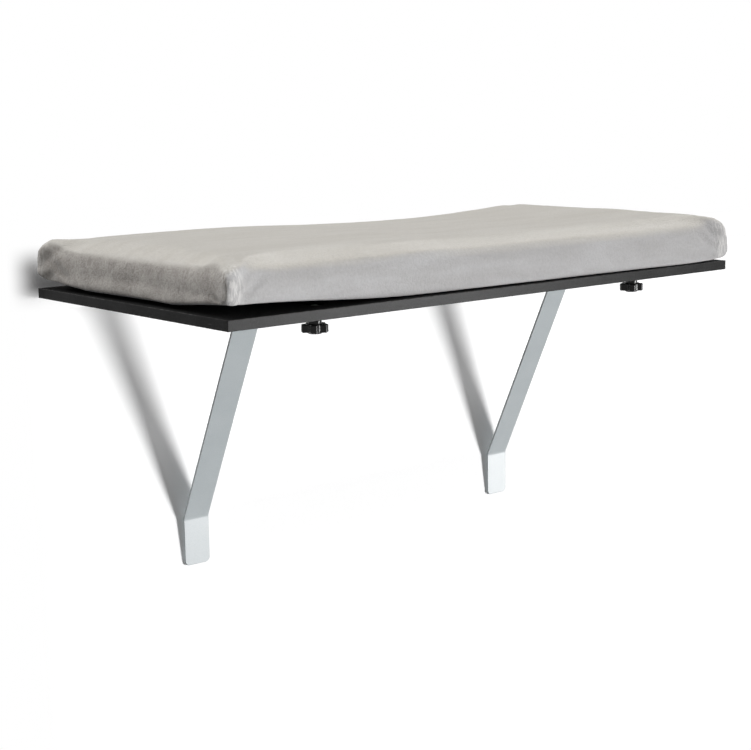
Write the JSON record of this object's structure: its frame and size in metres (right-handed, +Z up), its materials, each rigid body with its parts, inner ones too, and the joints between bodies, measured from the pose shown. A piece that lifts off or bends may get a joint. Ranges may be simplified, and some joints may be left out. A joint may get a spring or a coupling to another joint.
{
  "type": "window mounted cat perch",
  "caption": "Padded cat perch whose board rests on a window sill, braced from the wall by adjustable bent strap brackets with star knobs.",
  "frame": {"origin": "on the sill's top under the board's rubber pad, midway along the board, in the plane of the wall below the sill", "axes": "+X along the board, +Y towards the window, square to the wall, +Z up"},
  "size_m": [0.61, 0.31, 0.3122],
  "materials": {
    "board_laminate": "black melamine, fine satin texture",
    "edge_band": "black plastic edging, fine satin texture",
    "pad_rubber": "thin ribbed rubber sheet",
    "cover_plush": "short grey plush with a brushed nap",
    "foam": "open-cell foam",
    "hook_tape": "woven tape with nylon hooks",
    "loop_tape": "woven tape with nylon loops",
    "zip_tape": "woven grey tape",
    "zip_plastic": "moulded grey nylon",
    "zip_metal": "plated zinc",
    "bracket_paint": "silver-grey powder coat over steel strap",
    "bolt_steel": "zinc plated",
    "knob_plastic": "glossy black moulding",
    "insert_brass": "turned"
  },
  "bodies": {
    "board": {"board_panel": "board_laminate", "edge_band_front": "edge_band", "edge_band_rear": "edge_band", "edge_band_left": "edge_band", "edge_band_right": "edge_band", "sill_pad": "pad_rubber", "hook_strip_front": "hook_tape", "hook_strip_rear": "hook_tape"},
    "cushion": {"cushion_cover": "cover_plush", "cushion_foam": "foam", "loop_strip_front": "loop_tape", "loop_strip_rear": "loop_tape", "zipper_tape": "zip_tape", "zipper_teeth": "zip_plastic", "zipper_stops": "zip_metal"},
    "zip_slider": {"zipper_slider": "zip_metal"},
    "zip_pull": {"zipper_pull": "zip_metal"},
    "bracket_left": {"bracket_left": "bracket_paint", "guide_pin_left": "bolt_steel", "carriage_bolt_left": "bolt_steel"},
    "washer_left": {"washer_left": "bolt_steel"},
    "knob_left": {"knob_left": "knob_plastic", "knob_insert_left": "insert_brass"},
    "bracket_right": {"bracket_right": "bracket_paint", "guide_pin_right": "bolt_steel", "carriage_bolt_right": "bolt_steel"},
    "washer_right": {"washer_right": "bolt_steel"},
    "knob_right": {"knob_right": "knob_plastic", "knob_insert_right": "insert_brass"}
  },
  "joints": [
    {"name": "cushion_lift", "type": "slide", "parent": "board", "child": "cushion", "axis": [0, 0, 1], "range_m": [0, 0.08]},
    {"name": "zip_slide", "type": "slide", "parent": "cushion", "child": "zip_slider", "axis": [1, 0, 0], "range_m": [0, 0.385]},
    {"name": "zip_pull_swing", "type": "hinge", "parent": "zip_slider", "child": "zip_pull", "pos_m": [-0.1935, 0.08548, 0.0318], "axis": [1, 0, 0], "range_deg": [0, 160]},
    {"name": "bracket_left_slide", "type": "slide", "parent": "board", "child": "bracket_left", "axis": [0, 1, 0], "range_m": [0, 0.05]},
    {"name": "washer_left_drop", "type": "slide", "parent": "bracket_left", "child": "washer_left", "axis": [0, 0, -1], "range_m": [0, 0.002]},
    {"name": "knob_left_turn", "type": "hinge", "parent": "washer_left", "child": "knob_left", "pos_m": [-0.197, -0.1918, -0.0085], "axis": [0, 0, -1], "range_deg": [0, 720]},
    {"name": "bracket_right_slide", "type": "slide", "parent": "board", "child": "bracket_right", "axis": [0, 1, 0], "range_m": [0, 0.05]},
    {"name": "washer_right_drop", "type": "slide", "parent": "bracket_right", "child": "washer_right", "axis": [0, 0, -1], "range_m": [0, 0.002]},
    {"name": "knob_right_turn", "type": "hinge", "parent": "washer_right", "child": "knob_right", "pos_m": [0.197, -0.1918, -0.0085], "axis": [0, 0, -1], "range_deg": [0, 720]}
  ],
  "couplings": [
    {"joint": "washer_left_drop", "follows": "knob_left_turn", "m_per_rad": 0.00015915},
    {"joint": "washer_right_drop", "follows": "knob_right_turn", "m_per_rad": 0.00015915}
  ]
}
